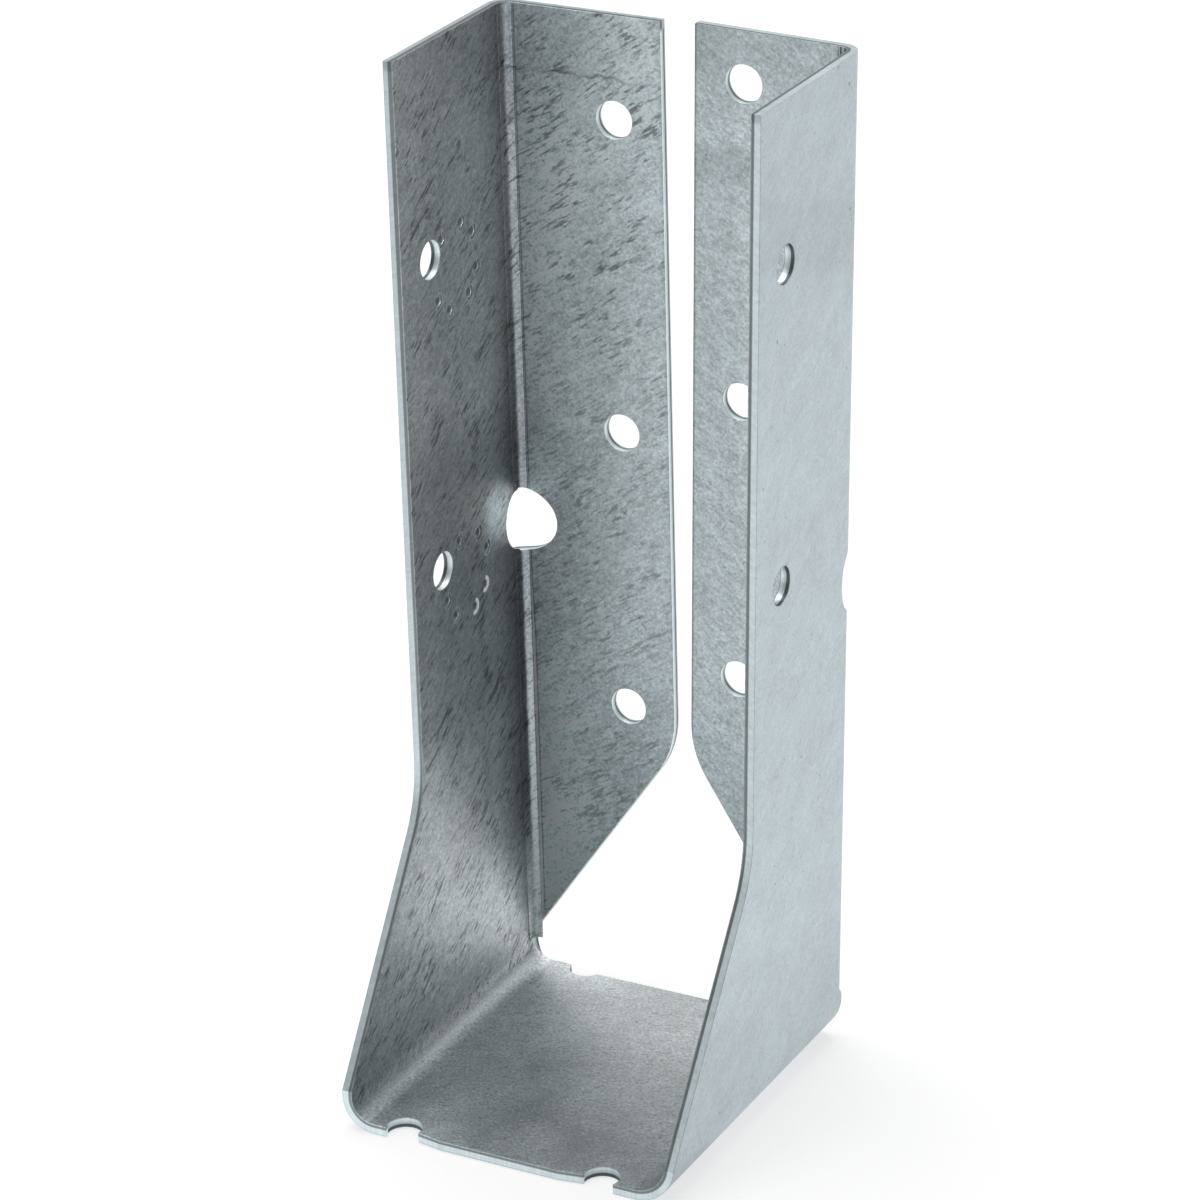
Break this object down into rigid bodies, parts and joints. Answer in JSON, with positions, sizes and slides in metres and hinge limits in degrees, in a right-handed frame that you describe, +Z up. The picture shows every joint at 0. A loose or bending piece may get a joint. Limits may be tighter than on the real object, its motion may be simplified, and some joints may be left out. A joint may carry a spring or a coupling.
{
  "type": "joist hanger",
  "caption": "Face-mount joist hanger folded from galvanised sheet, with a seat, side plates and inward header flanges with nail holes.",
  "frame": {"origin": "middle of the seat's underside, between the two side plates and halfway from the front edge to the header", "axes": "+X across the joist towards the side plate with the small outward lean, +Y towards the header, +Z up"},
  "size_m": [0.045, 0.0444, 0.121],
  "materials": {
    "zinc": "satin galvanised"
  },
  "bodies": {
    "root": {"hanger": "zinc"}
  },
  "joints": []
}
